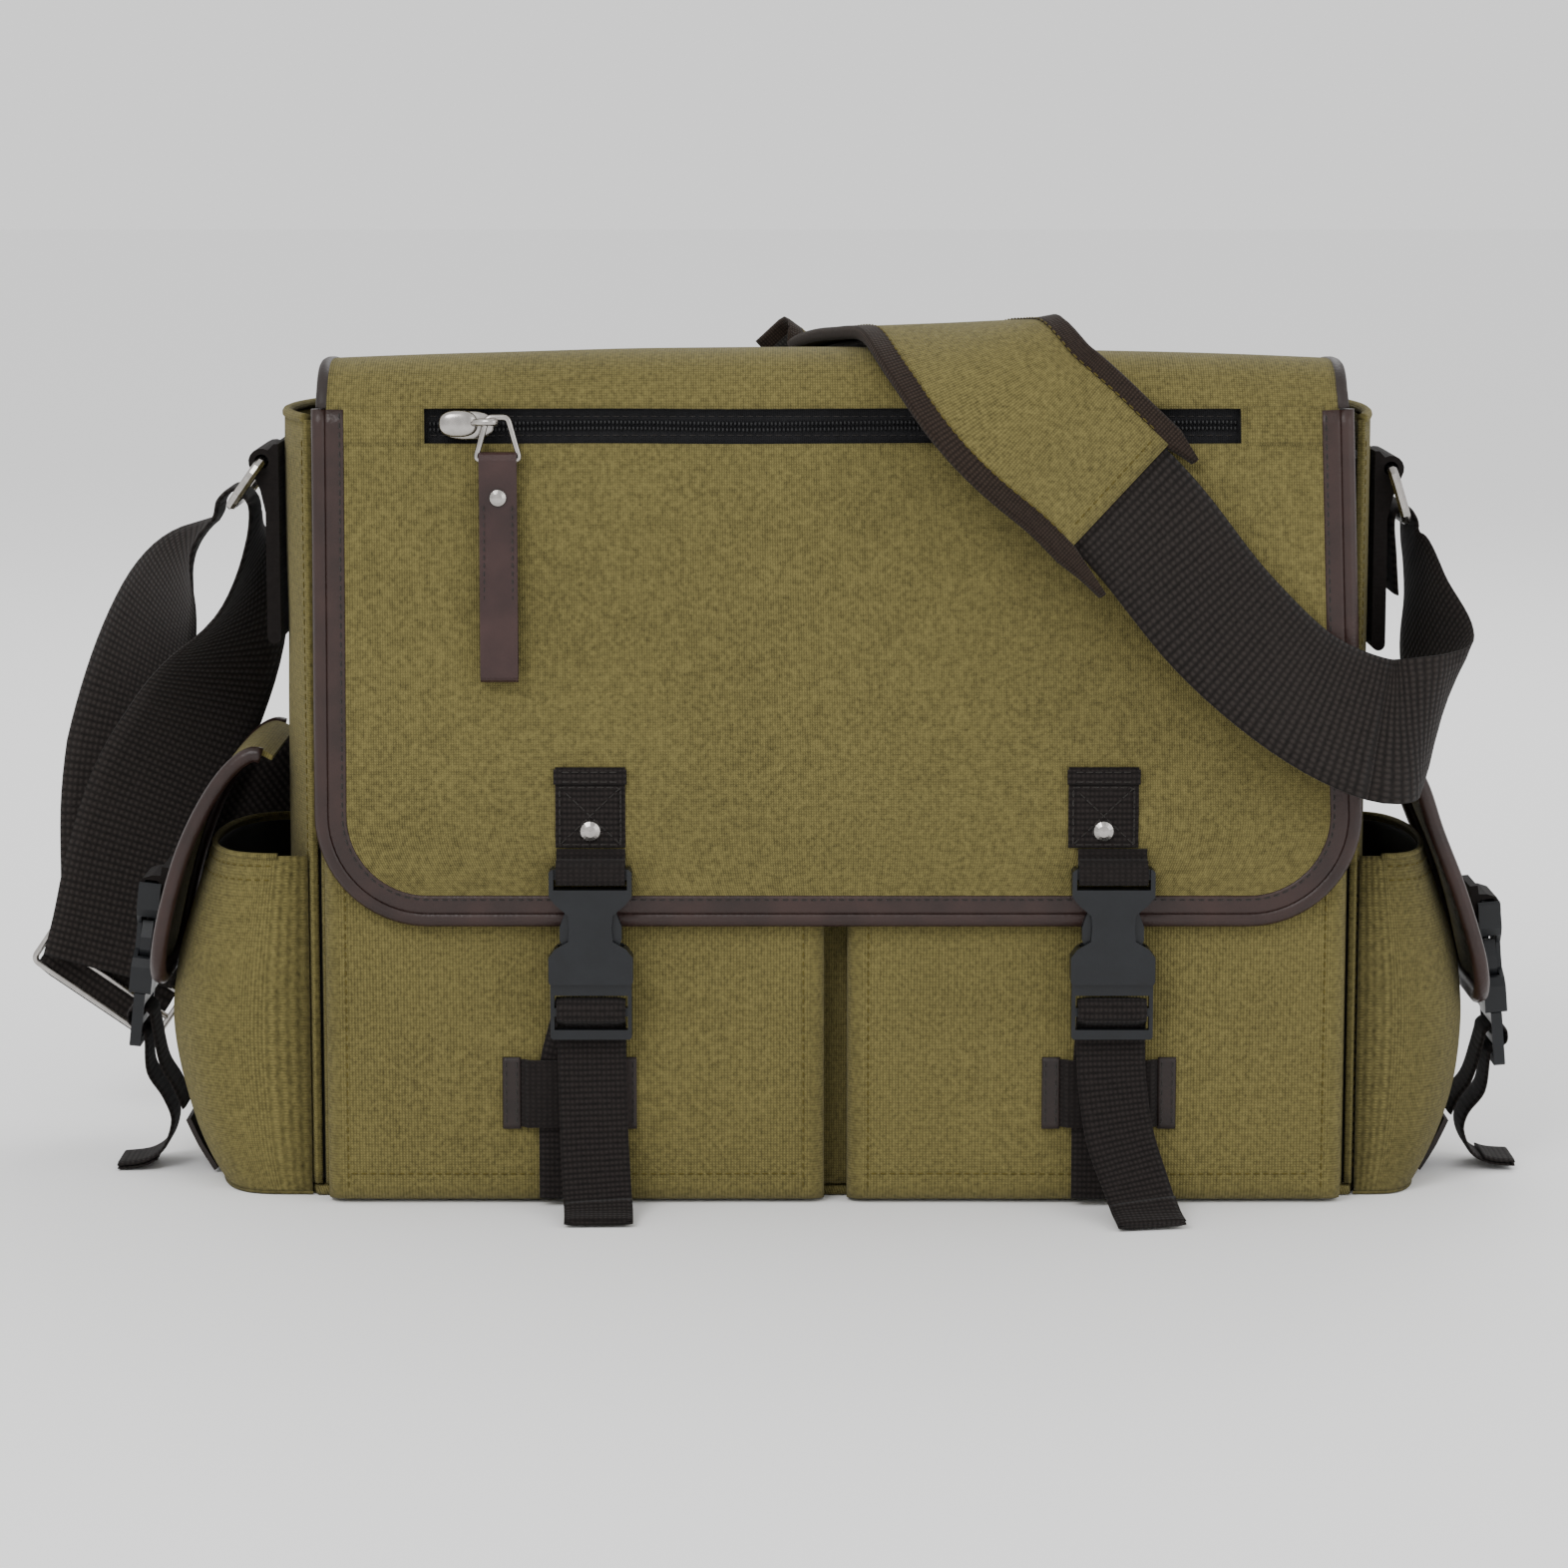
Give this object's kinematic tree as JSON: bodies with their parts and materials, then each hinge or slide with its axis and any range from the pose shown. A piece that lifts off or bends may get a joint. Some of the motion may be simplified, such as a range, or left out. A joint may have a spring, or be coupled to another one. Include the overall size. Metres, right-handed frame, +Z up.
{
  "type": "messenger bag",
  "caption": "Canvas messenger bag with a zipped, buckled flap, front and side pockets, buckled side-pocket flaps and a padded adjustable shoulder strap.",
  "frame": {"origin": "centre of the base's underside, on the surface that the bag stands on", "axes": "+X to the bag's right seen from the front, +Z up, -Y to the front (the flap's side)"},
  "size_m": [0.5524, 0.1756, 0.3119],
  "materials": {
    "canvas": "plain-weave olive canvas, matt",
    "lining": "dark woven lining",
    "leather": "dark brown smooth leather, soft sheen",
    "webbing": "coarse dark brown webbing, matt",
    "edge_tape": "dark twill tape",
    "buckle_plastic": "moulded black plastic, semi-matt",
    "nickel": "polished nickel plate",
    "zip": "black nylon coil and tape",
    "padding": "dark padded backing"
  },
  "bodies": {
    "bag": {"back_panel": "canvas", "base_panel": "canvas", "front_panel": "canvas", "front_pocket_left": "canvas", "front_pocket_right": "canvas", "front_strap_left": "webbing", "front_strap_right": "webbing", "gusset_left": "canvas", "gusset_right": "canvas", "lining": "lining", "pad_cover": "canvas", "pad_cushion": "padding", "pad_tape_left": "edge_tape", "pad_tape_right": "edge_tape", "ring_tab_left": "webbing", "ring_tab_right": "webbing", "shoulder_strap": "webbing", "side_anchor_left": "leather", "side_anchor_right": "leather", "side_pocket_left": "canvas", "side_pocket_right": "canvas", "side_strap_left": "webbing", "side_strap_right": "webbing", "strap_keeper_left": "webbing", "strap_keeper_right": "webbing"},
    "flap": {"flap_top_panel": "canvas", "flap_front_panel": "canvas", "flap_lining": "lining", "flap_binding": "leather", "zip_tape": "zip", "zip_coil": "zip", "flap_tab_left": "webbing", "flap_tab_right": "webbing", "tab_rivet_left": "nickel", "tab_rivet_right": "nickel", "front_loop_left": "webbing", "front_loop_right": "webbing", "front_female_left": "buckle_plastic", "front_female_right": "buckle_plastic"},
    "zip_slider": {"zip_slider": "nickel"},
    "zip_bail": {"zip_bail": "nickel"},
    "zip_pull": {"leather_pull": "leather", "pull_rivet": "nickel"},
    "strap_slider": {"strap_slider": "nickel"},
    "front_male_left": {"front_male_left": "buckle_plastic"},
    "side_male_left": {"side_male_left": "buckle_plastic"},
    "ring_left": {"ring_left": "nickel"},
    "side_flap_left": {"side_flap_left": "canvas", "side_binding_left": "leather", "side_tab_left": "webbing", "side_loop_left": "webbing", "side_female_left": "buckle_plastic"},
    "front_male_right": {"front_male_right": "buckle_plastic"},
    "side_male_right": {"side_male_right": "buckle_plastic"},
    "ring_right": {"ring_right": "nickel"},
    "side_flap_right": {"side_flap_right": "canvas", "side_binding_right": "leather", "side_tab_right": "webbing", "side_loop_right": "webbing", "side_female_right": "buckle_plastic"}
  },
  "joints": [
    {"name": "flap_lift", "type": "hinge", "parent": "bag", "child": "flap", "pos_m": [0, 0.051, 0.2835], "axis": [-1, 0, 0], "range_deg": [0, 110], "deforming": ["shoulder_strap", "pad_cushion", "pad_cover", "pad_tape_left", "pad_tape_right", "front_strap_left", "front_strap_right", "front_male_left", "front_male_right"]},
    {"name": "zip_slide", "type": "slide", "parent": "flap", "child": "zip_slider", "axis": [1, 0, 0], "range_m": [0, 0.256]},
    {"name": "zip_bail_swing", "type": "hinge", "parent": "zip_slider", "child": "zip_bail", "pos_m": [-0.116, -0.0731, 0.2785], "axis": [-1, 0, 0], "range_deg": [0, 80]},
    {"name": "zip_pull_swing", "type": "hinge", "parent": "zip_bail", "child": "zip_pull", "pos_m": [-0.116, -0.0731, 0.264], "axis": [-1, 0, 0], "range_deg": [0, 60]},
    {"name": "front_buckle_left_release", "type": "slide", "parent": "bag", "child": "front_male_left", "axis": [0, 0, -1], "range_m": [0, 0.03]},
    {"name": "side_flap_left_lift", "type": "hinge", "parent": "bag", "child": "side_flap_left", "pos_m": [-0.1986, 0, 0.1545], "axis": [0, 1, 0], "range_deg": [0, 70], "deforming": ["side_strap_left", "side_male_left"]},
    {"name": "side_buckle_left_release", "type": "slide", "parent": "bag", "child": "side_male_left", "axis": [-0.1132, 0, -0.9936], "range_m": [0, 0.03]},
    {"name": "ring_left_swing", "type": "hinge", "parent": "bag", "child": "ring_left", "pos_m": [-0.2028, 0, 0.2595], "axis": [0, 1, 0], "range_deg": [-25, 100]},
    {"name": "front_buckle_right_release", "type": "slide", "parent": "bag", "child": "front_male_right", "axis": [0, 0, -1], "range_m": [0, 0.03]},
    {"name": "side_flap_right_lift", "type": "hinge", "parent": "bag", "child": "side_flap_right", "pos_m": [0.1936, 0, 0.155], "axis": [0, -1, 0], "range_deg": [0, 75], "deforming": ["side_strap_right", "side_male_right"]},
    {"name": "side_buckle_right_release", "type": "slide", "parent": "bag", "child": "side_male_right", "axis": [0.0872, 0, -0.9962], "range_m": [0, 0.03]},
    {"name": "ring_right_swing", "type": "hinge", "parent": "bag", "child": "ring_right", "pos_m": [0.1974, 0, 0.257], "axis": [0, -1, 0], "range_deg": [-10, 100]},
    {"name": "strap_adjust", "type": "slide", "parent": "bag", "child": "strap_slider", "axis": [0.5708, 0, 0.8211], "range_m": [0, 0.04]}
  ]
}
